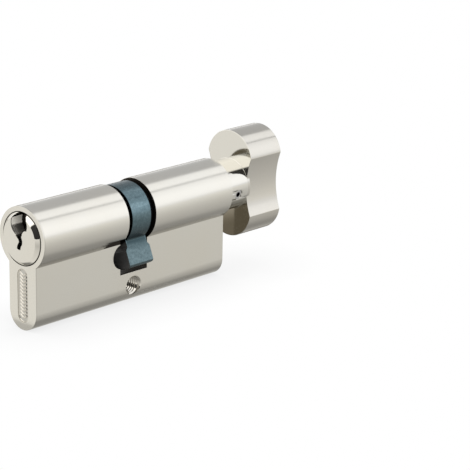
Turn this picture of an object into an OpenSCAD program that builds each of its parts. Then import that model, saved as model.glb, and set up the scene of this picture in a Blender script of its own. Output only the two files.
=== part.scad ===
// Euro profile door cylinder: keyed plug with five pin chambers on one side, a thumbturn
// on the other, and a cam between them that both can turn.
// X runs along the cylinder from the key side to the thumbturn, and Z is up.
// The origin is the centre of the fixing screw hole, at the cam's middle.

/* [Profile] */
// Diameter of the round upper part of the body
barrel_d = 17; // [16.6:0.1:21]
// Width of the flat web, which ends in a full round below
web_w = 10; // [9:0.1:12]
// Height of the turning axis above the fixing screw hole
axis_h = 19.5; // [18.5:0.1:23.5]

/* [Lengths] */
// From the fixing screw to the key side's face
key_side = 35; // [35:1:70]
// From the fixing screw to the thumbturn side's face
turn_side = 35; // [29:1:70]

/* [Fixing screw] */
// Diameter of the screw's thread
screw_d = 5; // [4:0.5:6]
// Width of the bevel at each mouth of the hole
screw_bevel = 0.35; // [0.1:0.05:0.6]

/* [Plug] */
// Diameter of the turning plug inside the body
plug_d = 12.9; // [10.7:0.1:13.2]
// How much wider than the plug its front flange is, all round
flange_step = 0.7; // [0.3:0.05:0.9]
// Depth of the flange's seat in the body's face
flange_seat = 2; // [1:0.1:4]
// How far the plug stands out of the face, all of it bevelled
plug_proud = 1; // [0.4:0.1:1.6]
// Diameter of the round pocket that leads the key in
pocket_d = 6.1; // [5:0.1:7]
// Depth of that pocket
pocket_deep = 4; // [2:0.1:5]
// Depth of the circle that the pocket's cutter marks on the ward
mark_deep = 0.12; // [0.05:0.01:0.3]

/* [Pins] */
// Distance from the key side's face to the first pin
first_pin = 7.5; // [6.5:0.1:9]
// Distance from one pin to the next
pin_pitch = 4; // [3.8:0.1:4]
// Diameter of the pins
pin_d = 2.8; // [2.2:0.1:3.3]
// Length of the driver pins
driver_len = 5.5; // [4:0.1:7]
// Thickness of the caps that close the chambers at the bottom
cap_t = 2.5; // [1.5:0.1:4]

/* [Cam] */
// Diameter of the cam's ring
cam_d = 16.1; // [15:0.1:17]
// Width of the cam's ring
cam_w = 6.8; // [6:0.1:7]
// Reach of the lever's tip from the turning axis
lever_reach = 15; // [13.5:0.1:15.5]
// Thickness of the lever across its sweep
lever_t = 6.1; // [4:0.1:7.5]
// Width of the lever where it leaves the ring
lever_root_w = 7.3; // [6:0.1:8]
// Width of the lever at its tip
lever_tip_w = 8.7; // [7:0.1:9.2]
// Angle of the lever from straight down
lever_angle = 21.5; // [0:0.5:60]
// Width of the gap in the body that the cam turns in
cam_gap = 10; // [9.4:0.1:11.5]
// Room between the lever's tip and the bottom of that gap
tip_room = 0.45; // [0.1:0.05:1]

/* [Thumbturn] */
// Diameter of the knob's neck
neck_d = 14.3; // [11:0.1:16]
// Length of the neck between the body and the knob
neck_len = 7.5; // [5:0.1:12]
// Thickness of the knob
knob_t = 12.5; // [8:0.1:20]
// Width of the knob across its round ends
knob_w = 16.4; // [16:0.1:24]
// Height of the knob over its round ends
knob_h = 30.5; // [28:0.1:42]
// Depth of the hollow in each of the knob's sides
knob_waist = 1.65; // [0.5:0.05:2.5]
// Diameter of the stub that carries the knob
stub_d = 8; // [6:0.1:9]
// Diameter of the grub screw
grub_d = 2.5; // [2.5:0.5:4]
// Angle of the grub screw below level
grub_angle = 11; // [-45:1:45]

/* [Clearances] */
// Radial clearance of everything that turns or slides
run_gap = 0.05; // [0.02:0.01:0.08]
// Clearance of pieces that are pressed or screwed in
seat_gap = 0.02; // [0.01:0.01:0.05]
// Room between faces that pass each other
side_gap = 0.15; // [0.1:0.01:0.25]

/* [Hidden] */
pin_count = 5;
// Overshoot of cutters past the faces that they cut
eps = 1;
$fn = 64;

// Profile and bores
barrel_r = barrel_d / 2;
web_r = web_w / 2;
screw_r = screw_d / 2;
plug_r = plug_d / 2;
bore_r = plug_r + run_gap;
flange_r = plug_r + flange_step;
flange_bore_r = flange_r + run_gap;
panel_w = 0.39 * web_w;
panel_margin = 2;
panel_deep = 0.25;

// Pins, with their heights counted from the turning axis
pin_r = pin_d / 2;
chamber_r = pin_r + 2 * run_gap;
shear_gap = 0.02;
key_pin_bottom = -sqrt(plug_r * plug_r - pin_r * pin_r) + shear_gap;
driver_top = -bore_r - shear_gap;
driver_bottom = driver_top - driver_len;
pin_hole_top = 0.3;
pin_tips = [-1.2, -2.3, -0.9, -2.8, -1.7];
tip_len = 1.1;
tip_r = 0.45;
cap_top = -axis_h - web_r + cap_t;
last_pin = pin_x(pin_count);

// Circlips, clutch and cam
cam_r = cam_d / 2;
cam_bore_r = 4.5;
clip_t = 0.75;
clip_groove_r = plug_r - 0.75;
clip_outer_r = plug_r + 0.95;
clip_end = cam_gap / 2 - side_gap;
lip_x = cam_w / 2 + side_gap;
spigot_r = cam_bore_r - run_gap;
spigot_x = cam_w / 2 - 1;
gap_floor = lever_reach + tip_room;
clutch_w = 3;
clutch_r = clip_groove_r - 0.2;
dog_slot_r = clutch_r + 0.15;
clutch_front = -lip_x - 0.1;
clutch_back = clutch_front - 2.75;
nose_r = 1.2;
keyway_end = last_pin + 2.3;
nose_end = keyway_end + 0.1;
dog_x = 0.7;

// Scallop and notch that the cutter leaves beside the gap
scallop_r = 3.4;
scallop_x = -4.15;
scallop_z = 5.05;
notch_r = 2.1;
notch_x = -9.4;

// Keyway, seen from the key side: upper channel, then the zigzag of the wards
key_top = plug_r + 2;
keyway_points = [
    [-2.1, key_top], [0.9, key_top], [0.9, 2.6], [0.45, 1.9], [1.3, 0.8], [0.3, 0],
    [0.05, -0.6], [0.7, -1.7], [0.85, -2.5], [0.2, -2.75], [-0.45, -2.7], [-0.65, -1.9],
    [-1.15, -1.1], [-1.25, -0.3], [-0.85, 0.8], [-0.95, 1.6], [-1.5, 2.3], [-2.1, 2.6]
];
pocket_z = 3.95;
ward_y = -0.95;
ward_z = 2.6;

// Springs
wire_r = 0.18;
coil_r = pin_r - wire_r - 0.1;
spring_turns = 7;
wire_sides = 4;
turn_steps = 10;

// Thumbturn side
collar_x = turn_side - flange_seat;
ball_r = chamber_r - run_gap;
ball_x = turn_side - 17;
ball_sink = 0.55;
ball_z = -(plug_r - ball_sink + ball_r);
rotor_bore_r = coil_r + wire_r + 0.3;
rotor_bore_end = 8;
neck_x = turn_side + 0.3;
knob_x = neck_x + neck_len;
knob_lobe_r = knob_w / 2;
knob_lobe_z = knob_h / 2 - knob_lobe_r;
scoop_half = knob_lobe_z + 1.5;
scoop_r = (scoop_half * scoop_half + knob_waist * knob_waist) / (2 * knob_waist);
stub_r = stub_d / 2;
stub_end = knob_x + knob_t - 3;
grub_r = grub_d / 2;
grub_x = neck_x + 3.9;
grub_tip = 0.8;
grub_inset = 0.35;
socket_w = grub_d / 2;
socket_deep = 1.2;

nickel = [0.78, 0.76, 0.71];
blued_steel = [0.33, 0.43, 0.48];
brass = [0.78, 0.62, 0.33];
spring_steel = [0.6, 0.6, 0.62];
black_steel = [0.2, 0.2, 0.21];

// Place of pin number i along the cylinder
function pin_x(i) = -key_side + first_pin + (i - 1) * pin_pitch;

// Round bar or cone along X, centred on the turning axis
module bar_x(r, x0, x1) {
    translate([x0, 0, axis_h]) rotate([0, 90, 0]) cylinder(h = x1 - x0, r = r);
}

module cone_x(r0, r1, x0, x1) {
    translate([x0, 0, axis_h]) rotate([0, 90, 0]) cylinder(h = x1 - x0, r1 = r0, r2 = r1);
}

// Groove of radius r_in cut into a bar between x0 and x1
module groove_x(r_in, x0, x1) {
    difference() {
        bar_x(barrel_r + eps, x0, x1);
        bar_x(r_in, x0 - eps, x1 + eps);
    }
}

// A shape drawn in the plane across the cylinder, Y to the right and Z up, made x0 to x1 long
module extrude_x(x0, x1) {
    translate([x0, 0, 0]) rotate([90, 0, 90]) linear_extrude(x1 - x0) children();
}

// Upright pin of radius r between two heights counted from the turning axis
module upright(x, r, z0, z1) {
    translate([x, 0, axis_h + z0]) cylinder(h = z1 - z0, r = r);
}

module profile() {
    translate([0, axis_h]) circle(barrel_r);
    translate([-web_r, 0]) square([web_w, axis_h]);
    circle(web_r);
}

// Tall bar with round ends
module stadium(w, h) {
    square([w, h - w], center = true);
    for (side = [-1, 1]) translate([0, side * (h - w) / 2]) circle(w / 2);
}

// Coil spring along +Z from z = 0 to z = length, swept by a small polygon
module coil(length) {
    steps = spring_turns * turn_steps;
    rise = length - 2 * wire_r;
    points = [
        for (s = [0:steps], k = [0:wire_sides - 1])
            let (a = s * 360 / turn_steps, b = k * 360 / wire_sides, r = coil_r + wire_r * cos(b))
            [r * cos(a), r * sin(a), wire_r + rise * s / steps + wire_r * sin(b)]
    ];
    sides = [
        for (s = [0:steps - 1], k = [0:wire_sides - 1])
            let (n = (k + 1) % wire_sides, p = s * wire_sides)
            [p + k, p + k + wire_sides, p + n + wire_sides, p + n]
    ];
    first = [for (k = [0:wire_sides - 1]) k];
    last = [for (k = [wire_sides - 1:-1:0]) steps * wire_sides + k];
    polyhedron(points, concat(sides, [first, last]));
}

// Retaining ring with an open end, seated in a groove from x0
module circlip(x0) {
    opening = 4;
    translate([0, 0, axis_h]) difference() {
        extrude_x(x0, x0 + clip_t) difference() {
            circle(clip_outer_r);
            circle(clip_groove_r + run_gap);
            translate([-opening / 2, 0]) square([opening, 2 * clip_outer_r]);
        }
    }
}

// Gap for the cam, with the scallop through the web and the notch in the round part
module cam_cut() {
    translate([-cam_gap / 2, -barrel_d, axis_h - gap_floor])
        cube([cam_gap, 2 * barrel_d, gap_floor + barrel_d]);
    translate([scallop_x, barrel_d, axis_h - gap_floor + scallop_z])
        rotate([90, 0, 0]) cylinder(h = 2 * barrel_d, r = scallop_r);
    translate([notch_x, -web_r, axis_h - sqrt(barrel_r * barrel_r - web_r * web_r)]) {
        rotate([90, 0, 0]) cylinder(h = barrel_d, r = notch_r);
        translate([0, -barrel_d, -notch_r]) cube([-notch_x, barrel_d, 2 * notch_r]);
    }
}

module fixing_hole() {
    rotate([90, 0, 0]) {
        cylinder(h = web_w + 2 * eps, r = screw_r, center = true);
        for (side = [0, 180]) rotate([side, 0, 0]) translate([0, 0, web_r - screw_bevel])
            cylinder(h = 2 * screw_bevel, r1 = screw_r, r2 = screw_r + 2 * screw_bevel);
    }
}

// Shallow bare panel on the web's face, under the plug
module face_panel() {
    panel_top = axis_h - flange_bore_r - 0.8;
    panel_bottom = -web_r + panel_margin;
    translate([0, 0, (panel_top + panel_bottom) / 2])
        extrude_x(-key_side - eps, -key_side + panel_deep) stadium(panel_w, panel_top - panel_bottom);
}

module housing() {
    color(nickel) difference() {
        extrude_x(-key_side, turn_side) profile();
        cam_cut();
        bar_x(bore_r, -key_side - eps, turn_side + eps);
        bar_x(flange_bore_r, -key_side - eps, -key_side + flange_seat);
        bar_x(flange_bore_r, collar_x, turn_side + eps);
        for (i = [1:pin_count]) upright(pin_x(i), chamber_r, -axis_h - web_w, -bore_r / 2);
        upright(ball_x, chamber_r, -axis_h - web_w, -bore_r / 2);
        fixing_hole();
        face_panel();
    }
}

// Caps that close the chambers flush with the round bottom of the web
module chamber_caps() {
    places = concat([for (i = [1:pin_count]) pin_x(i)], [ball_x]);
    color(brass) for (x = places) intersection() {
        upright(x, chamber_r - seat_gap, -axis_h - web_r, cap_top);
        extrude_x(x - web_w, x + web_w) circle(web_r);
    }
}

// Cross slot for the clutch or the dogs, on the turning axis
module cross_slot(half, w, x0, x1) {
    translate([x0, -half, axis_h - w / 2]) cube([x1 - x0, 2 * half, w]);
}

module keyway() {
    translate([0, 0, axis_h]) extrude_x(-key_side - plug_proud - eps, keyway_end)
        polygon(keyway_points);
}

// Round lead-in at the keyway's mouth; the ward keeps the face and has only the cutter's mark
module key_pocket() {
    face = -key_side - plug_proud;
    translate([0, 0, axis_h]) {
        extrude_x(face - eps, face + pocket_deep) difference() {
            translate([0, pocket_z]) circle(pocket_d / 2);
            translate([-pocket_d, ward_z - pocket_d]) square([pocket_d + ward_y, pocket_d]);
        }
        extrude_x(face - eps, face + mark_deep) translate([0, pocket_z]) circle(pocket_d / 2);
    }
}

module plug() {
    face = -key_side - plug_proud;
    seam = 0.15;
    color(nickel) difference() {
        union() {
            cone_x(flange_r - plug_proud - seam, flange_r, face, -key_side + seam);
            bar_x(flange_r, -key_side + seam, -key_side + flange_seat - run_gap);
            bar_x(plug_r, -key_side, -lip_x);
            bar_x(spigot_r, -key_side, -spigot_x);
        }
        groove_x(clip_groove_r, -clip_end - run_gap, -clip_end + clip_t + run_gap);
        keyway();
        key_pocket();
        for (i = [1:pin_count]) upright(pin_x(i), chamber_r, -barrel_d, pin_hole_top);
        bar_x(nose_r + run_gap, keyway_end - eps, -spigot_x + eps);
        cross_slot(dog_slot_r, clutch_w + 2 * run_gap, clutch_back - run_gap, -spigot_x + eps);
    }
}

module plug_circlip() {
    color(spring_steel) circlip(-clip_end);
}

// Key pin, pointed where the key touches it
module key_pin(i) {
    shank = pin_tips[i - 1] - tip_len - key_pin_bottom;
    color(brass) translate([pin_x(i), 0, axis_h + key_pin_bottom]) {
        cylinder(h = shank, r = pin_r);
        translate([0, 0, shank]) cylinder(h = tip_len, r1 = pin_r, r2 = tip_r);
    }
}

// Driver pin, bevelled at both ends
module driver_pin(i) {
    bevel = 0.3;
    color(spring_steel) translate([pin_x(i), 0, axis_h + driver_bottom]) {
        cylinder(h = bevel, r1 = pin_r - bevel, r2 = pin_r);
        translate([0, 0, bevel]) cylinder(h = driver_len - 2 * bevel, r = pin_r);
        translate([0, 0, driver_len - bevel]) cylinder(h = bevel, r1 = pin_r, r2 = pin_r - bevel);
    }
}

module pin_spring(i) {
    color(spring_steel) translate([pin_x(i), 0, axis_h + cap_top]) coil(driver_bottom - cap_top);
}

// Clutch: a bar across the plug's end, with a nose that the key's tip pushes
module clutch() {
    color(spring_steel) {
        intersection() {
            cross_slot(clutch_r + eps, clutch_w, clutch_back, clutch_front);
            bar_x(clutch_r, clutch_back - eps, clutch_front + eps);
        }
        bar_x(nose_r, nose_end, clutch_back + 0.5);
    }
}

module clutch_spring() {
    color(spring_steel) translate([clutch_front, 0, axis_h]) rotate([0, 90, 0])
        coil(rotor_bore_end - clutch_front);
}

// Lever's outline along the cylinder: straight at the ring, then wider, bevelled at the tip
module lever_outline() {
    root = lever_root_w / 2;
    tip = lever_tip_w / 2;
    flare_start = cam_r + 1.3;
    flare_end = flare_start + 0.9;
    bevel = 0.4;
    polygon([
        [-root, -plug_r], [root, -plug_r], [root, -flare_start], [tip, -flare_end],
        [tip, -lever_reach + bevel], [tip - bevel, -lever_reach], [bevel - tip, -lever_reach],
        [-tip, -lever_reach + bevel], [-tip, -flare_end], [-root, -flare_start]
    ]);
}

// Lever's outline across the cylinder: round at the reach, with its two long edges bevelled
module lever_side() {
    half = lever_t / 2;
    start = sqrt(lever_reach * lever_reach - half * half) - 0.45;
    intersection() {
        circle(lever_reach);
        polygon([
            [-half, 0], [half, 0], [half, -start], [half - 1, -start - 1],
            [1 - half, -start - 1], [-half, -start]
        ]);
    }
}

// Hollow fillets where the lever's sides meet the ring
module lever_fillets() {
    fillet_r = 0.8;
    side = lever_t / 2 + fillet_r;
    drop = sqrt(pow(cam_r + fillet_r, 2) - side * side);
    touch = cam_r / (cam_r + fillet_r);
    for (hand = [-1, 1]) difference() {
        polygon([
            [0, -cam_r + 2], [hand * side * touch * 0.97, -drop * touch * 0.97],
            [hand * side, -drop], [hand * (lever_t / 2 - 0.2), -drop]
        ]);
        translate([hand * side, -drop]) circle(fillet_r);
    }
}

module cam() {
    fillet_end = cam_w / 2 - 0.1;
    color(blued_steel) difference() {
        union() {
            bar_x(cam_r, -cam_w / 2, cam_w / 2);
            translate([0, 0, axis_h]) rotate([-lever_angle, 0, 0]) {
                intersection() {
                    rotate([90, 0, 0]) linear_extrude(2 * lever_t, center = true) lever_outline();
                    extrude_x(-cam_gap, cam_gap) lever_side();
                }
                extrude_x(-fillet_end, fillet_end) lever_fillets();
            }
        }
        bar_x(cam_bore_r, -cam_w, cam_w);
        cross_slot(dog_slot_r, clutch_w + 2 * run_gap, -cam_w, cam_w);
    }
}

// Shaft of the thumbturn: dogs in the cam, a collar at the outer end, and the knob's stub
module turn_rotor() {
    color(nickel) difference() {
        union() {
            intersection() {
                cross_slot(clutch_r + eps, clutch_w, dog_x, lip_x + eps);
                bar_x(clutch_r, dog_x - eps, lip_x + 2 * eps);
            }
            bar_x(spigot_r, spigot_x, lip_x + eps);
            bar_x(plug_r, lip_x, turn_side);
            bar_x(flange_r, collar_x + run_gap, turn_side);
            bar_x(stub_r, turn_side - eps, stub_end);
        }
        groove_x(clip_groove_r, clip_end - clip_t - run_gap, clip_end + run_gap);
        bar_x(rotor_bore_r, 0, rotor_bore_end);
        translate([ball_x, 0, axis_h]) rotate([0, 90, 0]) rotate_extrude()
            translate([-ball_z, 0]) circle(ball_r + run_gap);
        grub_place(stub_r - grub_tip) cylinder(h = grub_tip + eps, r1 = 0.1, r2 = grub_r + 1);
    }
}

module rotor_circlip() {
    color(spring_steel) circlip(clip_end - clip_t);
}

module detent_ball() {
    color(spring_steel) translate([ball_x, 0, axis_h + ball_z]) sphere(ball_r);
}

module detent_spring() {
    color(spring_steel) translate([ball_x, 0, axis_h + cap_top]) coil(ball_z - ball_r - cap_top);
}

// Puts a shape that points along +Z on the grub screw's line, at radius r from the axis
module grub_place(r) {
    translate([grub_x, 0, axis_h]) rotate([90 + grub_angle, 0, 0]) translate([0, 0, r]) children();
}

module knob_outline() {
    difference() {
        stadium(knob_w, knob_h);
        for (side = [-1, 1]) translate([side * (knob_lobe_r - knob_waist + scoop_r), 0])
            circle(scoop_r, $fn = 128);
    }
}

module thumbturn_knob() {
    neck_r = neck_d / 2;
    sink = 0.25;
    color(nickel) difference() {
        union() {
            bar_x(neck_r, neck_x, knob_x + eps);
            translate([0, 0, axis_h]) extrude_x(knob_x, knob_x + knob_t) knob_outline();
        }
        bar_x(stub_r + seat_gap, neck_x - eps, stub_end + 0.3);
        grub_place(0) cylinder(h = neck_r + eps, r = grub_r + seat_gap);
        grub_place(neck_r - sink) cylinder(h = 4 * sink, r1 = grub_r, r2 = grub_r + 4 * sink);
    }
}

// Cone-point grub screw with a hexagon socket
module grub_screw() {
    inner = stub_r - grub_tip + 0.2;
    outer = neck_d / 2 - grub_inset;
    color(black_steel) difference() {
        union() {
            grub_place(inner + grub_tip) cylinder(h = outer - inner - grub_tip, r = grub_r);
            grub_place(inner) cylinder(h = grub_tip, r1 = 0.2, r2 = grub_r);
        }
        grub_place(outer - socket_deep) cylinder(h = 2 * socket_deep, r = socket_w / sqrt(3), $fn = 6);
    }
}

housing();
plug();
plug_circlip();
for (i = [1:pin_count]) {
    key_pin(i);
    driver_pin(i);
    pin_spring(i);
}
chamber_caps();
clutch();
clutch_spring();
cam();
turn_rotor();
rotor_circlip();
detent_ball();
detent_spring();
thumbturn_knob();
grub_screw();
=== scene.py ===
"""Finishes a euro profile lock cylinder: nickel body and thumbturn, blued cam, keyed plug, inner parts."""

import math

import bmesh
import bpy
from bpy.props import FloatProperty, FloatVectorProperty, IntProperty, PointerProperty
from mathutils import Matrix, Vector


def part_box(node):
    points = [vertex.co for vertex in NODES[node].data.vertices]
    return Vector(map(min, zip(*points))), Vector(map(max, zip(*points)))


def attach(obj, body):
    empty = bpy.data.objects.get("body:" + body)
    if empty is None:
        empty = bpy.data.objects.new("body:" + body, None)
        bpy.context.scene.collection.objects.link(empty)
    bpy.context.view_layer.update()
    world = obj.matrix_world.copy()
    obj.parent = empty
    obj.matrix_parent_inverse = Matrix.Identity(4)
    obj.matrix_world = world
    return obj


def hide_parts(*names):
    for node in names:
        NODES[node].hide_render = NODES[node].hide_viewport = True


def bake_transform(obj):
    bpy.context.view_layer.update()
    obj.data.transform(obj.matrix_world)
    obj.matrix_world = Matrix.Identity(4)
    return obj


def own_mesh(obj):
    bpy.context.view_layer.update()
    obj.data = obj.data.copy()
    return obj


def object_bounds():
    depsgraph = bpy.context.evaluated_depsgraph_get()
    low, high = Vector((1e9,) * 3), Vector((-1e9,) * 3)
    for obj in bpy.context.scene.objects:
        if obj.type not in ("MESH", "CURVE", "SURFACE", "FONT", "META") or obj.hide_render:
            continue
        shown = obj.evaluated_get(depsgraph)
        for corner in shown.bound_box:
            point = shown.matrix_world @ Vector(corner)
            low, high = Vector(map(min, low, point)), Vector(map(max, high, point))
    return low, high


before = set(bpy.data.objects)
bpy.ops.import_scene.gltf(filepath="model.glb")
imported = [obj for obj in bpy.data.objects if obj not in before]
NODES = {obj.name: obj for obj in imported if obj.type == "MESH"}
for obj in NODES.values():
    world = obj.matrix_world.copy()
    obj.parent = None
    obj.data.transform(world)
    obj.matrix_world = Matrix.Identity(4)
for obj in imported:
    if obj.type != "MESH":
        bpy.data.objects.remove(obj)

bl_info = {
    "name": "Lock Cylinder Finish",
    "version": (1, 0, 0),
    "blender": (4, 5, 0),
    "location": "3D View > Sidebar > Lock Cylinder",
    "description": "Materials, fine detail and studio for a euro profile lock cylinder",
    "category": "Object",
}

CAD_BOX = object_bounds()
MM = 0.001

HOUSING_LOW, HOUSING_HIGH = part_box("housing")
PLUG_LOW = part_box("plug")[0]
KNOB_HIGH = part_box("thumbturn_knob")[1]
BARREL_R = (HOUSING_HIGH.y - HOUSING_LOW.y) / 2
AXIS_Z = HOUSING_HIGH.z - BARREL_R
WEB_R = -HOUSING_LOW.z
PANEL_DEPTH = 0.25 * MM
PINS = range(1, 6)


# ---------------------------------------------------------------- settings

def colour(name, description, value):
    """A colour property with its default."""
    return FloatVectorProperty(
        name=name, description=description, default=value, size=3, subtype="COLOR", min=0, max=1
    )


def length(name, description, value):
    """A length property in metres with its default."""
    return FloatProperty(
        name=name, description=description, default=value, subtype="DISTANCE", unit="LENGTH", precision=5
    )


def angle(name, description, degrees):
    """An angle property whose default is given in degrees."""
    return FloatProperty(
        name=name, description=description, default=math.radians(degrees), subtype="ANGLE", unit="ROTATION"
    )


def share(name, description, value):
    """A plain number property from 0 upwards."""
    return FloatProperty(name=name, description=description, default=value, min=0)


class FinishSettings(bpy.types.PropertyGroup):
    """Colours and roughness of the cylinder's finishes."""

    nickel: colour("Nickel", "Colour of the satin nickel plate", (0.680, 0.668, 0.630))
    knob_nickel: colour("Knob nickel", "Colour of the thumbturn's brushed sides", (0.610, 0.595, 0.560))
    blued: colour("Blued steel", "Colour of the cam", (0.060, 0.101, 0.121))
    rubbed: colour("Rubbed edges", "Colour of the cam's worn edges", (0.20, 0.29, 0.33))
    # Painted shade: the cam's sides, which face the narrow gap in the body, are painted nearly black.
    side_shade: colour("Black sides", "Colour of the cam's sides", (0.020, 0.022, 0.024))
    brass: colour("Brass", "Colour of the pins and chamber caps", (0.720, 0.530, 0.250))
    steel: colour("Steel", "Colour of the drivers, clutch and ball", (0.560, 0.560, 0.570))
    wire: colour("Spring wire", "Colour of the springs", (0.450, 0.440, 0.430))
    # Black oxide on the circlips; on the screw's head the same black is painted shade of the socket.
    black: colour("Black oxide", "Colour of the circlips and the screw's socket", (0.020, 0.020, 0.022))
    # Nearly black: raw oiled metal, painted darker as painted shade inside the body and in the plug's
    # keyway.
    oil_and_shade: colour("Oiled metal", "Colour of raw metal inside the body", (0.030, 0.026, 0.022))
    satin: share("Satin roughness", "Roughness of the ground nickel", 0.17)
    polish: share("Polish roughness", "Roughness of the polished faces", 0.07)


class DetailSettings(bpy.types.PropertyGroup):
    """Sizes of edges and fine detail."""

    edge: length("Edge", "Width of the broken edges of turned pieces", 0.12 * MM)
    soft_edge: length("Soft edge", "Width of the tumbled edges of the cam", 0.22 * MM)
    thread_pitch: length("Thread pitch", "Pitch of the fixing screw's thread", 0.8 * MM)
    thread_depth: length("Thread depth", "Depth of that thread", 0.4 * MM)
    rib: length("Rib", "Spacing of the raised bars on the face panel", 0.95 * MM)
    wire_sides: IntProperty(name="Wire sides", description="Sides of a spring's wire", default=10, min=5)


class StudioSettings(bpy.types.PropertyGroup):
    """Camera, floor and light of the stage."""

    azimuth: angle("Azimuth", "Where the camera stands round the object", -47.893)
    elevation: angle("Elevation", "Height of the camera above the horizon", 16.658)
    roll: angle("Roll", "Turn of the camera about its view", 1.004)
    distance: length("Distance", "From the camera to the point that it aims at", 528.07 * MM)
    aim: FloatVectorProperty(
        name="Aim", description="Point in the middle of the view", default=(0.020407, -0.022762, 0.013771),
        subtype="TRANSLATION", unit="LENGTH", precision=5,
    )
    lens: FloatProperty(name="Lens", description="Focal length in millimetres", default=151.45)
    floor_tint: colour("Floor", "Colour of the floor as the metal sees it", (1.0, 0.980, 0.925))
    shade_tint: colour("Shade", "Floor in the object's own shade", (1.0, 0.86, 0.62))
    key_side_light: share("Key side light", "Brightness of the light above the key end", 1.8)
    foot: share("Foot", "Brightness of the floor right beside the object", 0.86)
    key_end: share("Key end", "Brightness of the floor before the key end", 1.0)
    dark: angle("Dark end", "Half width of the unlit end of the room behind the camera", 33.0)


# ---------------------------------------------------------------- node helpers

class Graph:
    """Short ways to add and link nodes in one tree."""

    def __init__(self, tree):
        self.tree = tree

    def add(self, kind, **settings):
        """A new node with its attributes set."""
        node = self.tree.nodes.new(kind)
        for key, value in settings.items():
            setattr(node, key, value)
        return node

    def feed(self, node, **inputs):
        """Sets or links sockets; an underscore in a name stands for a space."""
        for key, value in inputs.items():
            self.feed_socket(node.inputs[key.replace("_", " ")], value)
        return node

    def feed_socket(self, socket, value):
        """Links an output, or sets a plain value."""
        if isinstance(value, bpy.types.NodeSocket):
            self.tree.links.new(value, socket)
        else:
            socket.default_value = value

    def maths(self, operation, *values, clamp=False):
        """A Math node's output."""
        node = self.add("ShaderNodeMath", operation=operation, use_clamp=clamp)
        for socket, value in zip(node.inputs, values):
            self.feed_socket(socket, value)
        return node.outputs[0]

    def mix(self, factor, a, b, blend="MIX"):
        """A colour mix's output."""
        node = self.add("ShaderNodeMix", data_type="RGBA", blend_type=blend)
        for socket, value in zip((node.inputs[0], node.inputs[6], node.inputs[7]), (factor, a, b)):
            self.feed_socket(socket, value)
        return node.outputs[2]

    def spread(self, value, low, high, to_low, to_high):
        """A Map Range node's output."""
        node = self.add("ShaderNodeMapRange", clamp=True)
        for socket, item in zip(node.inputs, (value, low, high, to_low, to_high)):
            self.feed_socket(socket, item)
        return node.outputs[0]

    def noise(self, vector, scale, detail=2.0, roughness=0.5):
        """A Noise Texture's value."""
        node = self.add("ShaderNodeTexNoise")
        self.feed(node, Vector=vector, Scale=scale, Detail=detail, Roughness=roughness)
        return node.outputs["Fac"]

    def coordinates(self, kind):
        """The x, y and z of a texture coordinate: Object, Normal or Generated."""
        split = self.add("ShaderNodeSeparateXYZ")
        self.feed_socket(split.inputs[0], self.add("ShaderNodeTexCoord").outputs[kind])
        return tuple(split.outputs)

    def product(self, first, *others):
        """Several masks multiplied together."""
        for other in others:
            first = self.maths("MULTIPLY", first, other)
        return first

    def opposite(self, mask):
        """One less the mask."""
        return self.maths("SUBTRACT", 1.0, mask)

    def reach(self, across, over):
        """Distance from an axis, from the two offsets square to it."""
        across_squared = self.maths("MULTIPLY", across, across)
        over_squared = self.maths("MULTIPLY", over, over)
        return self.maths("SQRT", self.maths("ADD", across_squared, over_squared))


class Surface(Graph):
    """The Graph of one material, with ways to lay another finish over it where a mask is 1."""

    def __init__(self, name):
        self.material = bpy.data.materials.new(name)
        self.material.use_nodes = True
        super().__init__(self.material.node_tree)
        self.shader = self.tree.nodes["Principled BSDF"]

    def tint(self, mask, tone, blend="MIX"):
        """Lays a colour over the one that is there."""
        socket = self.shader.inputs["Base Color"]
        self.feed_socket(socket, self.mix(mask, socket.links[0].from_socket, tone, blend))

    def roughen(self, mask, value):
        """Brings the roughness to a value."""
        socket = self.shader.inputs["Roughness"]
        self.feed_socket(socket, self.spread(mask, 0.0, 1.0, socket.links[0].from_socket, value))

    def dull(self, mask):
        """Takes the metal's mirror away and leaves a matt coat."""
        self.feed_socket(self.shader.inputs["Metallic"], self.opposite(mask))

    def ends(self):
        """Mask of the faces that look along the cylinder."""
        along = self.maths("ABSOLUTE", self.coordinates("Normal")[0])
        return self.spread(along, 0.45, 0.65, 0.0, 1.0)


def rgba(value, level=1.0):
    """A colour at a level of brightness, with full alpha."""
    return (*[level * part for part in value], 1.0)


def new_group(name, inputs, outputs):
    """A shader node group with named sockets, and its Graph, entry and exit nodes."""
    tree = bpy.data.node_groups.new(name, "ShaderNodeTree")
    for key, kind, default in inputs:
        socket = tree.interface.new_socket(key, in_out="INPUT", socket_type=kind)
        socket.default_value = default
    for key, kind in outputs:
        tree.interface.new_socket(key, in_out="OUTPUT", socket_type=kind)
    graph = Graph(tree)
    return tree, graph, graph.add("NodeGroupInput"), graph.add("NodeGroupOutput")


def grain_group():
    """Fine lines that run along one axis: a height for bump and a mask for roughness."""
    tree, g, entry, leave = new_group(
        "Metal Grain",
        [("Stretch", "NodeSocketVector", (300.0, 6000.0, 6000.0)), ("Wander", "NodeSocketFloat", 0.3)],
        [("Height", "NodeSocketFloat"), ("Mask", "NodeSocketFloat")],
    )
    place = g.add("ShaderNodeTexCoord").outputs["Object"]
    fine = g.add("ShaderNodeVectorMath", operation="MULTIPLY")
    g.feed_socket(fine.inputs[0], place)
    g.feed_socket(fine.inputs[1], entry.outputs["Stretch"])
    lines = g.noise(fine.outputs[0], 1.0, 3.0, 0.6)
    broad = g.noise(place, 220.0, 2.0)
    wander = g.maths("MULTIPLY", broad, entry.outputs["Wander"])
    g.feed_socket(leave.inputs["Height"], g.maths("ADD", lines, wander))
    g.feed_socket(leave.inputs["Mask"], g.spread(lines, 0.35, 0.65, 0.0, 1.0))
    return tree


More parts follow.
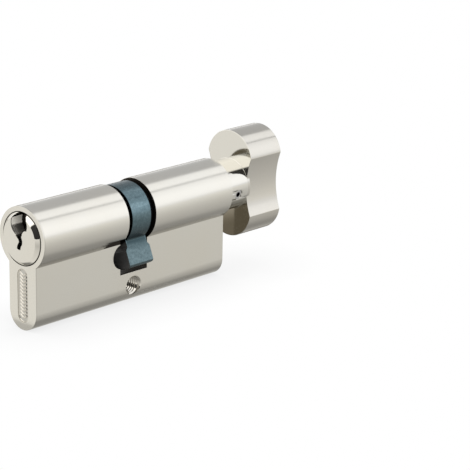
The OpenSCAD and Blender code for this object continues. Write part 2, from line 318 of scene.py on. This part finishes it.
def plating_group():
    """Slow change of tint and polish over plated metal, as handling and polishing leave it."""
    tree, g, entry, leave = new_group(
        "Plating Variation",
        [("Colour", "NodeSocketColor", (0.7, 0.7, 0.7, 1.0)), ("Warm", "NodeSocketFloat", 0.05),
         ("Polish", "NodeSocketFloat", 0.15), ("Spread", "NodeSocketFloat", 0.04)],
        [("Colour", "NodeSocketColor"), ("Roughness", "NodeSocketFloat")],
    )
    place = g.add("ShaderNodeTexCoord").outputs["Object"]
    slow = g.spread(g.noise(place, 60.0, 3.0), 0.3, 0.7, 0.0, 1.0)
    quick = g.spread(g.noise(place, 900.0, 2.0), 0.3, 0.7, -0.5, 0.5)
    warm = g.mix(1.0, entry.outputs["Colour"], (1.0, 0.965, 0.90, 1.0), "MULTIPLY")
    amount = g.maths("MULTIPLY", slow, entry.outputs["Warm"])
    g.feed_socket(leave.inputs["Colour"], g.mix(amount, entry.outputs["Colour"], warm))
    shift = g.maths("MULTIPLY", quick, entry.outputs["Spread"])
    g.feed_socket(leave.inputs["Roughness"], g.maths("ADD", entry.outputs["Polish"], shift, clamp=True))
    return tree


def edge_group():
    """Mask of sharp outer edges, where a finish rubs bright."""
    tree, g, entry, leave = new_group(
        "Edge Rub",
        [("Reach", "NodeSocketFloat", 0.56), ("Break", "NodeSocketFloat", 0.5)],
        [("Mask", "NodeSocketFloat")],
    )
    pointed = g.add("ShaderNodeNewGeometry").outputs["Pointiness"]
    place = g.add("ShaderNodeTexCoord").outputs["Object"]
    patches = g.spread(g.noise(place, 1400.0, 2.0), 0.3, 0.7, 0.0, 1.0)
    edge = g.spread(pointed, 0.505, entry.outputs["Reach"], 0.0, 1.0)
    whole = g.opposite(g.maths("MULTIPLY", patches, entry.outputs["Break"]))
    g.feed_socket(leave.inputs["Mask"], g.maths("MULTIPLY", edge, whole, clamp=True))
    return tree


GROUPS = {}


def place_group(graph, build, **inputs):
    """A node that uses a shared group, which is built the first time it is asked for."""
    if build.__name__ not in GROUPS:
        GROUPS[build.__name__] = build()
    node = graph.add("ShaderNodeGroup")
    node.node_tree = GROUPS[build.__name__]
    return graph.feed(node, **inputs)


# ---------------------------------------------------------------- materials

LINES_ALONG_X = (250.0, 5500.0, 5500.0)
LINES_ALONG_Z = (5500.0, 5500.0, 250.0)
NO_LINES = (2600.0, 2600.0, 2600.0)


def metal(name, tint, polish, lines, bump=0.00001, spread=0.03):
    """The Surface of a metal with plating variation and grain."""
    g = Surface(name)
    plate = place_group(g, plating_group, Colour=rgba(tint), Warm=0.3, Polish=polish, Spread=spread)
    grain = place_group(g, grain_group, Stretch=lines)
    rough = g.maths("MULTIPLY_ADD", grain.outputs["Mask"], spread, plate.outputs["Roughness"])
    relief = g.add("ShaderNodeBump")
    g.feed(relief, Strength=0.35, Distance=bump, Height=grain.outputs["Height"])
    g.feed(g.shader, Metallic=1.0, Base_Color=plate.outputs["Colour"], Roughness=rough)
    g.feed(g.shader, Normal=relief.outputs["Normal"])
    return g


def body_nickel(finish):
    """Plated outside; raw oiled metal in the bores, the chambers and the cam's gap, painted nearly black
    there as painted shade.
    """
    g = metal("body_nickel", finish.nickel, finish.satin, LINES_ALONG_X)
    x, y, z = g.coordinates("Object")
    barrel_skin = 0.04 * MM
    web_skin = 0.05 * MM
    screw_room = 4.0 * MM
    in_barrel = g.maths("LESS_THAN", g.reach(y, g.maths("SUBTRACT", z, AXIS_Z)), BARREL_R - barrel_skin)
    in_web = g.maths("LESS_THAN", g.maths("ABSOLUTE", y), WEB_R - web_skin)
    upper = g.maths("GREATER_THAN", z, AXIS_Z - math.sqrt(BARREL_R ** 2 - WEB_R ** 2))
    under_skin = g.spread(upper, 0.0, 1.0, in_web, in_barrel)
    end_skin = g.spread(upper, 0.0, 1.0, 0.5 * MM, 0.03 * MM)
    between_ends = g.maths("LESS_THAN", g.maths("ADD", g.maths("ABSOLUTE", x), end_skin), -HOUSING_LOW.x)
    inside = g.product(under_skin, between_ends, g.maths("GREATER_THAN", z, screw_room))
    panel_x = HOUSING_LOW.x + PANEL_DEPTH
    panel_floor = g.product(
        g.maths("GREATER_THAN", x, panel_x - 0.05 * MM), g.maths("LESS_THAN", x, panel_x + 0.05 * MM)
    )
    # Painted shade: the panel's recessed floor is painted darker than the face round it.
    g.tint(panel_floor, rgba(finish.nickel, 0.74))
    # Painted shade: the faces inside the bores, the chambers and the cam's gap are painted nearly black over
    # the oiled metal, a little lighter in the barrel and matt in the web.
    g.tint(inside, g.mix(upper, rgba(finish.oil_and_shade, 1.8), rgba(finish.oil_and_shade)))
    g.roughen(inside, 0.5)
    g.dull(g.maths("SUBTRACT", inside, upper, clamp=True))
    return g.material


def plug_nickel(finish):
    """Plated on its face; painted nearly black as painted shade in the keyway and where its flange enters
    the body.

    The upper wall of the keyway's lead-in is painted pale and matt: painted light.
    """
    g = metal("plug_nickel", finish.nickel, finish.satin, NO_LINES)
    x, y, z = g.coordinates("Object")
    high = g.maths("SUBTRACT", z, AXIS_Z)
    reach = g.reach(y, high)
    depth = g.maths("SUBTRACT", x, PLUG_LOW.x)
    seam_x = HOUSING_LOW.x - 0.04 * MM
    on_plug = g.maths("LESS_THAN", x, 0.0)
    core = g.maths("LESS_THAN", reach, 6.0 * MM)
    keyway = g.product(core, g.spread(depth, 0.5 * MM, 2.0 * MM, 0.0, 1.0))
    seam = g.product(g.spread(x, seam_x - 0.08 * MM, seam_x, 0.0, 1.0), g.opposite(core))
    dark = g.product(g.maths("MAXIMUM", keyway, seam), on_plug)
    # Painted light: a pale, matt patch painted on the upper wall of the keyway's lead-in.
    wall = g.product(
        core,
        g.spread(depth, 0.15 * MM, 0.30 * MM, 0.0, 1.0),
        g.spread(depth, 3.7 * MM, 3.95 * MM, 1.0, 0.0),
        g.spread(high, 0.8 * MM, 1.2 * MM, 0.0, 1.0),
        g.spread(high, 3.0 * MM, 3.4 * MM, 0.25, 1.0),
        g.spread(high, 5.5 * MM, 5.9 * MM, 1.0, 0.0),
    )
    bevel = g.product(g.spread(reach, 5.5 * MM, 5.7 * MM, 0.0, 1.0), on_plug)
    # Painted shade: the keyway and the flange's edge where it enters the body are painted nearly black.
    g.tint(dark, rgba(finish.oil_and_shade))
    g.tint(wall, rgba(finish.nickel, 1.3))
    g.roughen(bevel, 0.04)
    g.roughen(dark, 0.4)
    g.dull(wall)
    return g.material


def knob_nickel(finish):
    """Brushed round the grip, polished on its ends and neck."""
    g = metal("knob_nickel", finish.knob_nickel, 0.13, LINES_ALONG_Z, bump=0.000012, spread=0.06)
    grip_length = 12.6 * MM
    neck = g.maths("LESS_THAN", g.coordinates("Object")[0], KNOB_HIGH.x - grip_length)
    for polished in (g.ends(), neck):
        g.tint(polished, rgba(finish.nickel))
        g.roughen(polished, finish.polish)
    return g.material


def blued_steel(finish):
    """Blued ring, painted darker towards its top and its lever as a painted reflection; duller lever; sides
    painted black as painted shade.
    """
    g = metal("blued_steel", finish.blued, 0.26, LINES_ALONG_Z, bump=0.00002)
    ends = g.ends()
    g.tint(place_group(g, edge_group).outputs["Mask"], rgba(finish.rubbed))
    # Painted shade: nearly black on the faces that look along the axis.
    g.tint(ends, rgba(finish.side_shade))
    g.roughen(ends, 0.5)
    y, z = g.coordinates("Object")[1:]
    high = g.maths("SUBTRACT", z, AXIS_Z)
    lever = g.spread(g.reach(y, high), BARREL_R - 0.3 * MM, BARREL_R, 0.0, 1.0)
    to_lever = g.spread(high, -7 * MM, 2 * MM, 0.40, 1.0)
    to_top = g.spread(high, 3 * MM, 8 * MM, 1.0, 0.75)
    # Painted reflection: the ring is painted darker towards its lever and towards its top, as its reflection
    # of the room would be.
    g.tint(g.opposite(lever), g.maths("MINIMUM", to_lever, to_top), "MULTIPLY")
    g.tint(lever, (0.72, 0.70, 0.68, 1.0), "MULTIPLY")
    # Painted shade: the lever's sides are painted near black and matt.
    lever_sides = g.product(ends, lever)
    g.tint(lever_sides, (0.036, 0.036, 0.037, 1.0))
    g.dull(lever_sides)
    return g.material


def turned_brass(finish):
    """Brass straight from the lathe, for pins and caps."""
    return metal("turned_brass", finish.brass, 0.24, NO_LINES).material


def bright_steel(finish):
    """Hardened and polished steel, for drivers, clutch and ball."""
    return metal("bright_steel", finish.steel, 0.20, NO_LINES).material


def drawn_wire(finish):
    """Drawn spring wire."""
    return metal("drawn_wire", finish.wire, 0.28, NO_LINES).material


def black_oxide(finish):
    """Blackened spring steel, for the circlips."""
    return metal("black_oxide", finish.black, 0.35, NO_LINES).material


def screw_steel(finish):
    """Bright steel with a black disc in the middle of its head: painted shade of the hexagon socket."""
    g = metal("screw_steel", finish.steel, 0.18, NO_LINES)
    low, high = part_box("grub_screw")
    middle = (low + high) / 2
    tilt = math.atan2(AXIS_Z - middle.z, -middle.y)
    x, y, z = g.coordinates("Object")
    raised = g.maths("MULTIPLY", g.maths("SUBTRACT", z, AXIS_Z), math.cos(tilt))
    over = g.maths("SUBTRACT", raised, g.maths("MULTIPLY", y, math.sin(tilt)))
    off = g.reach(g.maths("SUBTRACT", x, middle.x), over)
    # Painted shade: a black disc where the hexagon socket is.
    g.tint(g.spread(off, 0.68 * MM, 0.78 * MM, 1.0, 0.0), rgba(finish.black))
    return g.material


# ---------------------------------------------------------------- mesh helpers

def dress(node, material):
    """Puts one material on a carried-over node."""
    mesh = NODES[node].data
    mesh.materials.clear()
    mesh.materials.append(material)


def break_edges(node, width, limit=32.0):
    """Joins the node's split faces and gives its sharp edges a small round, by modifiers."""
    piece = NODES[node]
    weld = piece.modifiers.new("Join faces", "WELD")
    weld.merge_threshold = 0.000002
    flat = piece.modifiers.new("Plain faces", "DECIMATE")
    flat.decimate_type = "DISSOLVE"
    flat.angle_limit = math.radians(0.05)
    bevel = piece.modifiers.new("Broken edges", "BEVEL")
    bevel.width = width
    bevel.segments = 2
    bevel.limit_method = "ANGLE"
    bevel.angle_limit = math.radians(limit)
    bevel.miter_outer = "MITER_ARC"
    shading = piece.modifiers.new("Face shading", "WEIGHTED_NORMAL")
    shading.keep_sharp = True


def mesh_piece(name, mesh_builder, body, material, smooth=True):
    """A new piece from a function that fills a bmesh; it rides on a body, if one is given."""
    mesh = bpy.data.meshes.new(name)
    bm = bmesh.new()
    mesh_builder(bm)
    bmesh.ops.recalc_face_normals(bm, faces=bm.faces[:])
    bm.to_mesh(mesh)
    bm.free()
    mesh.polygons.foreach_set("use_smooth", [smooth] * len(mesh.polygons))
    mesh.materials.append(material)
    piece = bpy.data.objects.new(name, mesh)
    bpy.context.scene.collection.objects.link(piece)
    if body:
        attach(piece, body)
    return piece


def skin(bm, rings):
    """Joins each ring of points to the next with faces, and gives back the rings of vertices."""
    made = [[bm.verts.new(point) for point in ring] for ring in rings]
    for a, b in zip(made, made[1:]):
        for k in range(len(a)):
            n = (k + 1) % len(a)
            bm.faces.new((a[k], a[n], b[n], b[k]))
    return made


def sweep(bm, rings):
    """Skins a list of rings of points and closes both ends."""
    made = skin(bm, rings)
    bm.faces.new(made[0][::-1])
    bm.faces.new(made[-1])


def coil_builder(base, axis, tall, coil_r, wire_r, turns, sides):
    """A function that fills a bmesh with a coil spring whose end turns are wound close."""
    side_a = axis.orthogonal().normalized()
    side_b = axis.cross(side_a)
    steps_per_turn = 28
    dead = 1.0
    start, stop = wire_r, tall - wire_r
    wind = 2 * wire_r

    def rise_at(turn):
        """Height of the wire's middle: turn on turn in the dead turns, evenly spaced between them."""
        if turn < dead:
            return start + wind * turn / dead
        if turn > turns - dead:
            return stop - wind * (turns - turn) / dead
        return start + wind + (stop - start - 2 * wind) * (turn - dead) / (turns - 2 * dead)

    def build(bm):
        rings = []
        for s in range(int(turns * steps_per_turn) + 1):
            turn = s / steps_per_turn
            around = 2 * math.pi * turn
            out = side_a * math.cos(around) + side_b * math.sin(around)
            middle = base + out * coil_r + axis * rise_at(turn)
            ring = []
            for k in range(sides):
                a = 2 * math.pi * k / sides
                ring.append(middle + out * wire_r * math.cos(a) + axis * wire_r * math.sin(a))
            rings.append(ring)
        sweep(bm, rings)

    return build


# ---------------------------------------------------------------- operators

class PieceOperator:
    """What every operator here shares: its make() works from the three groups of settings."""

    bl_options = {"REGISTER", "UNDO"}

    def execute(self, context):
        scene = context.scene
        self.make(scene.cylinder_finish, scene.cylinder_detail, scene.cylinder_studio)
        return {"FINISHED"}


class LOCKCYL_OT_body(PieceOperator, bpy.types.Operator):
    """Finishes the euro profile body and the caps under its chambers"""

    bl_idname = "lockcyl.body"
    bl_label = "Body"

    def make(self, finish, detail, studio):
        dress("housing", body_nickel(finish))
        break_edges("housing", detail.edge)
        dress("chamber_caps", turned_brass(finish))


class LOCKCYL_OT_thread(PieceOperator, bpy.types.Operator):
    """Cuts the thread that shows inside the fixing hole"""

    bl_idname = "lockcyl.thread"
    bl_label = "Fixing thread"

    def make(self, finish, detail, studio):
        major_r = 2.495 * MM
        minor_r = major_r - detail.thread_depth
        pitch = detail.thread_pitch
        half = WEB_R - 0.36 * MM
        steps = 40
        profile = ((major_r, 0.06), (minor_r, 0.44), (minor_r, 0.56), (major_r, 0.94))
        turns = (2 * half - pitch) / pitch

        def build(bm):
            rings = []
            for s in range(int(turns * steps) + 1):
                a = 2 * math.pi * s / steps
                y = -half + pitch * s / steps
                rings.append([(r * math.cos(a), y + shift * pitch, r * math.sin(a)) for r, shift in profile])
            sweep(bm, rings)

        nickel = bpy.data.materials["body_nickel"]
        mesh_piece("fixing_thread", build, "housing", nickel, smooth=False)


class LOCKCYL_OT_face_panel(PieceOperator, bpy.types.Operator):
    """Fills the shallow panel on the web's face with a plain herringbone of raised bars"""

    bl_idname = "lockcyl.face_panel"
    bl_label = "Face panel"

    def make(self, finish, detail, studio):
        panel_half = 0.195 * 2 * WEB_R
        top = AXIS_Z - 8.0 * MM
        bottom = -WEB_R + 2.0 * MM
        middle = (top + bottom) / 2
        floor_x = HOUSING_LOW.x + PANEL_DEPTH + 0.01 * MM
        rise = 0.17 * MM
        reach = panel_half - 0.75 * MM
        step = detail.rib

        def bar(bm, start, end):
            """A raised bar between two points (y, z) of the panel's floor, with sloping sides."""
            along = (end - start).normalized()
            side = Vector((-along.y, along.x))
            rings = []
            for lift, half in ((0.0, 0.30 * step), (rise, 0.18 * step)):
                ring = []
                for point, way in ((start, 1), (end, 1), (end, -1), (start, -1)):
                    spot = point + side * half * way
                    ring.append((floor_x - lift, spot.x, spot.y))
                rings.append(ring)
            sweep(bm, rings)

        def bead(bm):
            """A low bead that follows the panel's outline."""
            straight = (top - bottom) / 2 - panel_half
            inset = panel_half - 0.22 * MM
            rings = []
            for lift, shift in ((0.0, 0.17), (0.13, 0.08), (0.13, -0.08), (0.0, -0.17)):
                ring = []
                for k in range(48):
                    a = 2 * math.pi * (k + 0.5) / 48
                    out = Vector((math.cos(a), math.sin(a)))
                    centre = Vector((0.0, middle + math.copysign(straight, out.y)))
                    spot = centre + out * (inset + shift * MM)
                    ring.append((floor_x - lift * MM, spot.x, spot.y))
                rings.append(ring)
            skin(bm, rings)

        def build(bm):
            count = int((top - bottom - 2 * panel_half + 1.6 * reach) / step)
            for k in range(count):
                z = middle + (k - (count - 1) / 2) * step
                for hand in (1, -1):
                    inner_end = Vector((0.12 * MM * hand, z - 0.3 * step))
                    outer_end = Vector((reach * hand, z + 0.5 * step))
                    bar(bm, inner_end, outer_end)
            bead(bm)

        nickel = bpy.data.materials["body_nickel"]
        mesh_piece("face_panel_ribs", build, "housing", nickel, smooth=False)


class LOCKCYL_OT_plug(PieceOperator, bpy.types.Operator):
    """Finishes the keyed plug and its circlip"""

    bl_idname = "lockcyl.plug"
    bl_label = "Plug"

    def make(self, finish, detail, studio):
        dress("plug", plug_nickel(finish))
        break_edges("plug", detail.edge * 0.5)
        dress("plug_circlip", black_oxide(finish))


class LOCKCYL_OT_cam(PieceOperator, bpy.types.Operator):
    """Finishes the blued cam with its lever"""

    bl_idname = "lockcyl.cam"
    bl_label = "Cam"

    def make(self, finish, detail, studio):
        dress("cam", blued_steel(finish))
        break_edges("cam", detail.soft_edge)


class LOCKCYL_OT_thumbturn(PieceOperator, bpy.types.Operator):
    """Finishes the thumbturn: knob, rotor, grub screw and circlip"""

    bl_idname = "lockcyl.thumbturn"
    bl_label = "Thumbturn"

    def make(self, finish, detail, studio):
        dress("thumbturn_knob", knob_nickel(finish))
        break_edges("thumbturn_knob", detail.edge, limit=20.0)
        dress("turn_rotor", bpy.data.materials["plug_nickel"])
        dress("grub_screw", screw_steel(finish))
        dress("rotor_circlip", bpy.data.materials["black_oxide"])


class LOCKCYL_OT_inner(PieceOperator, bpy.types.Operator):
    """Finishes the pins, clutch and ball, and winds the springs"""

    bl_idname = "lockcyl.inner"
    bl_label = "Inner parts"

    def make(self, finish, detail, studio):
        brass = bpy.data.materials["turned_brass"]
        steel = bright_steel(finish)
        drawn_wire(finish)
        for i in PINS:
            dress(f"key_pin_{i}", brass)
            dress(f"driver_pin_{i}", steel)
            self.pin_spring(i, detail)
        dress("clutch", steel)
        dress("detent_ball", steel)
        self.wind("detent_spring", "housing", Vector((0, 0, 1)), detail)
        spring = self.wind("clutch_spring", "thumbturn", Vector((1, 0, 0)), detail)
        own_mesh(spring)

    def wind(self, node, body, axis, detail):
        """A round-wire coil in the place of a node's plain one."""
        low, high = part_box(node)
        middle = (low + high) / 2
        tall = abs((high - low).dot(axis))
        across = (high - low).y
        wire_r = 0.17 * MM
        base = middle - axis * tall / 2
        build = coil_builder(base, axis, tall, across / 2 - wire_r, wire_r, 9.0, detail.wire_sides)
        piece = mesh_piece(node + "_coil", build, body, bpy.data.materials["drawn_wire"])
        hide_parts(node)
        return piece

    def pin_spring(self, i, detail):
        """A pin's spring, which sits between the body and the driver pin."""
        node = f"pin_spring_{i}"
        piece = self.wind(node, None, Vector((0, 0, 1)), detail)
        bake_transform(piece)


# Grey levels of the floor, as the metal sees it, from a steep look down (0) to a grazing one (1).
FLOOR_BY_SLANT = [
    (0.0, 0.34), (0.297, 0.37), (0.310, 0.44), (0.331, 0.49), (0.368, 0.545), (0.417, 0.585), (0.548, 0.66),
    (0.714, 0.76), (0.806, 0.84), (0.902, 0.92), (1.0, 1.04),
]
# Grey levels of the room round the cylinder's axis, in degrees up from the front and over to the back.
LIGHT_BY_HEIGHT = [
    (0, 1.03), (3, 1.06), (7, 1.30), (20, 1.38), (35, 1.38), (50, 1.29), (60, 1.22), (62.5, 0.60),
    (65.5, 0.60), (68, 1.34), (80, 1.28), (97, 1.22), (101, 0.60), (150, 0.60), (163, 0.66), (180, 1.3),
]


def fill_ramp(ramp, stops, scale):
    """Puts grey stops on a colour ramp; each is halved, so that levels up to 2 fit."""
    points = ramp.elements
    while len(points) < len(stops):
        points.new(0.5)
    for point, (place, level) in zip(points, stops):
        point.position = place * scale
        point.color = (level / 2, level / 2, level / 2, 1.0)


def camera_sees(g, plain, lively, out):
    """Gives the camera one shader, and everything else the other."""
    blend = g.add("ShaderNodeMixShader")
    g.feed_socket(blend.inputs[0], g.add("ShaderNodeLightPath").outputs["Is Camera Ray"])
    g.feed_socket(blend.inputs[1], lively.outputs[0])
    g.feed_socket(blend.inputs[2], plain.outputs[0])
    g.feed_socket(out.inputs["Surface"], blend.outputs[0])


def view_axes(studio):
    """The camera's right, its upward direction and the way back to it."""
    around, rise, roll = studio.azimuth, studio.elevation, studio.roll
    back = Vector((math.sin(around) * math.cos(rise), -math.cos(around) * math.cos(rise), math.sin(rise)))
    level = Vector((math.cos(around), math.sin(around), 0))
    up = back.cross(level)
    right = level * math.cos(roll) + up * math.sin(roll)
    above = up * math.cos(roll) - level * math.sin(roll)
    return right, above, back


class LOCKCYL_OT_stage(PieceOperator, bpy.types.Operator):
    """Sets the floor, the studio's light and the camera"""

    bl_idname = "lockcyl.stage"
    bl_label = "Stage"

    def make(self, finish, detail, studio):
        self.floor(studio)
        self.light(studio)
        self.camera(studio)

    def floor(self, studio):
        """A white floor with the object's soft shadow; the metal sees it by slant and place instead."""
        size = 6.0
        mesh = bpy.data.meshes.new("floor")
        corners = [(-size, -size), (size, -size), (size, size), (-size, size)]
        low = CAD_BOX[0]
        z = low.z - 0.02 * MM
        mesh.from_pydata([(x, y, z) for x, y in corners], [], [(0, 1, 2, 3)])
        floor = bpy.data.objects.new("floor", mesh)
        bpy.context.scene.collection.objects.link(floor)
        material = bpy.data.materials.new("pale_floor")
        material.use_nodes = True
        mesh.materials.append(material)
        material.node_tree.nodes.clear()
        g = Graph(material.node_tree)
        x, y = g.coordinates("Object")[:2]

        slant = g.add("ShaderNodeLayerWeight")
        slant.inputs["Blend"].default_value = 0.5
        ramp = g.add("ShaderNodeValToRGB")
        fill_ramp(ramp.color_ramp, FLOOR_BY_SLANT, 1.0)
        g.feed_socket(ramp.inputs[0], slant.outputs["Facing"])
        # Painted shadow and light: for the metal the floor's glow is dimmed beside the object and, warm
        # tinted, behind the web, and brighter before the key end and beyond the far side.
        past_y = g.maths("MAXIMUM", g.maths("SUBTRACT", g.maths("ABSOLUTE", y), WEB_R), 0.0)
        foot = g.spread(past_y, 0.0, 12 * MM, studio.foot, 1.0)
        before_key_end = g.spread(x, low.x - 4 * MM, low.x, 1.0, 0.0)
        before = g.product(before_key_end, g.spread(y, -40 * MM, 0.0, 0.7, 1.0))
        beyond = g.product(g.spread(y, 30 * MM, 60 * MM, 0.0, 1.0), g.spread(x, 0.0, 30 * MM, 1.0, 0.0))
        behind_web = g.spread(y, WEB_R, WEB_R + MM, 0.0, 1.0)
        past_key_end = g.spread(x, -20 * MM, -10 * MM, 0.0, 1.0)
        hidden = g.product(behind_web, past_key_end, g.opposite(beyond))
        shaded = g.product(foot, ramp.outputs["Color"], 2.0, g.spread(hidden, 0.0, 1.0, 1.0, 0.23))
        bright = g.product(g.maths("MAXIMUM", before, beyond), studio.key_end)
        seen = g.add("ShaderNodeEmission")
        g.feed(seen, Color=g.mix(hidden, rgba(studio.floor_tint), rgba(studio.shade_tint)))
        g.feed(seen, Strength=g.maths("MAXIMUM", shaded, bright))

        # Painted shadow: for the camera the white floor's glow is dimmed by ambient occlusion near the
        # object.
        shadow = g.add("ShaderNodeAmbientOcclusion", samples=12)
        shadow.inputs["Distance"].default_value = 0.02
        white = g.add("ShaderNodeEmission")
        g.feed(white, Strength=g.spread(shadow.outputs["AO"], 0.0, 1.0, 0.80, 1.0))
        out = g.add("ShaderNodeOutputMaterial")
        camera_sees(g, white, seen, out)

    def light(self, studio):
        """A room of bright and dim bands with one unlit end, for the metal; the camera sees white."""
        world = bpy.data.worlds.new("studio")
        bpy.context.scene.world = world
        world.use_nodes = True
        world.node_tree.nodes.clear()
        g = Graph(world.node_tree)
        x, y, z = g.coordinates("Generated")
        turn = g.maths("ARCTAN2", z, g.maths("MULTIPLY", y, -1.0))
        bands = g.add("ShaderNodeValToRGB")
        fill_ramp(bands.color_ramp, LIGHT_BY_HEIGHT, 1 / 180)
        g.feed_socket(bands.inputs[0], g.maths("DIVIDE", turn, math.pi))
        warm = (0.5, 0.49, 0.468, 1.0)
        key_end = g.mix(1.0, warm, g.spread(z, 0.0, 0.5, 1.2, studio.key_side_light), "MULTIPLY")
        room = g.mix(g.spread(x, -0.2, 0.2, 0.0, 1.0), key_end, bands.outputs["Color"])

        toward = g.add("ShaderNodeVectorMath", operation="DOT_PRODUCT")
        g.feed_socket(toward.inputs[0], g.add("ShaderNodeTexCoord").outputs["Generated"])
        toward.inputs[1].default_value = view_axes(studio)[2]
        edge = math.cos(studio.dark)
        lit = g.spread(toward.outputs["Value"], edge - 0.02, edge + 0.02, 1.0, 0.03)
        lit = g.maths("MAXIMUM", lit, g.add("ShaderNodeLightPath").outputs["Is Diffuse Ray"])

        studio_light = g.add("ShaderNodeBackground")
        g.feed(studio_light, Color=g.mix(1.0, room, lit, "MULTIPLY"), Strength=2.0)
        white = g.add("ShaderNodeBackground")
        white.inputs["Color"].default_value = (1, 1, 1, 1)
        out = g.add("ShaderNodeOutputWorld")
        camera_sees(g, white, studio_light, out)

    def camera(self, studio):
        """A long lens that looks along the cylinder from the key side."""
        right, above, back = view_axes(studio)
        lens = bpy.data.cameras.new("camera")
        lens.lens = studio.lens
        lens.sensor_width = 36.0
        lens.clip_start = 0.01
        lens.clip_end = 50.0
        camera = bpy.data.objects.new("camera", lens)
        turn = Matrix((right, above, back)).transposed().to_4x4()
        camera.matrix_world = Matrix.Translation(Vector(studio.aim) + back * studio.distance) @ turn
        bpy.context.scene.collection.objects.link(camera)
        bpy.context.scene.camera = camera
        bpy.context.scene.view_settings.view_transform = "Standard"


class LOCKCYL_PT_panel(bpy.types.Panel):
    """Lists the cylinder's steps in the sidebar"""

    bl_idname = "LOCKCYL_PT_panel"
    bl_label = "Lock Cylinder"
    bl_space_type = "VIEW_3D"
    bl_region_type = "UI"
    bl_category = "Lock Cylinder"

    def draw(self, context):
        for operator in OPERATORS:
            self.layout.operator(operator.bl_idname)


OPERATORS = (
    LOCKCYL_OT_body, LOCKCYL_OT_thread, LOCKCYL_OT_face_panel, LOCKCYL_OT_plug, LOCKCYL_OT_cam,
    LOCKCYL_OT_thumbturn, LOCKCYL_OT_inner, LOCKCYL_OT_stage,
)
SETTINGS = {
    "cylinder_finish": FinishSettings,
    "cylinder_detail": DetailSettings,
    "cylinder_studio": StudioSettings,
}


def register():
    """Registers the settings, the operators and the panel."""
    for name, group in SETTINGS.items():
        bpy.utils.register_class(group)
        setattr(bpy.types.Scene, name, PointerProperty(type=group))
    for operator in OPERATORS:
        bpy.utils.register_class(operator)
    bpy.utils.register_class(LOCKCYL_PT_panel)


def unregister():
    """Takes them all out again."""
    bpy.utils.unregister_class(LOCKCYL_PT_panel)
    for operator in reversed(OPERATORS):
        bpy.utils.unregister_class(operator)
    for name, group in SETTINGS.items():
        delattr(bpy.types.Scene, name)
        bpy.utils.unregister_class(group)


def main():
    """Runs every step in order."""
    register()
    for operator in OPERATORS:
        family, name = operator.bl_idname.split(".")
        getattr(getattr(bpy.ops, family), name)()


if __name__ == "__main__":
    main()
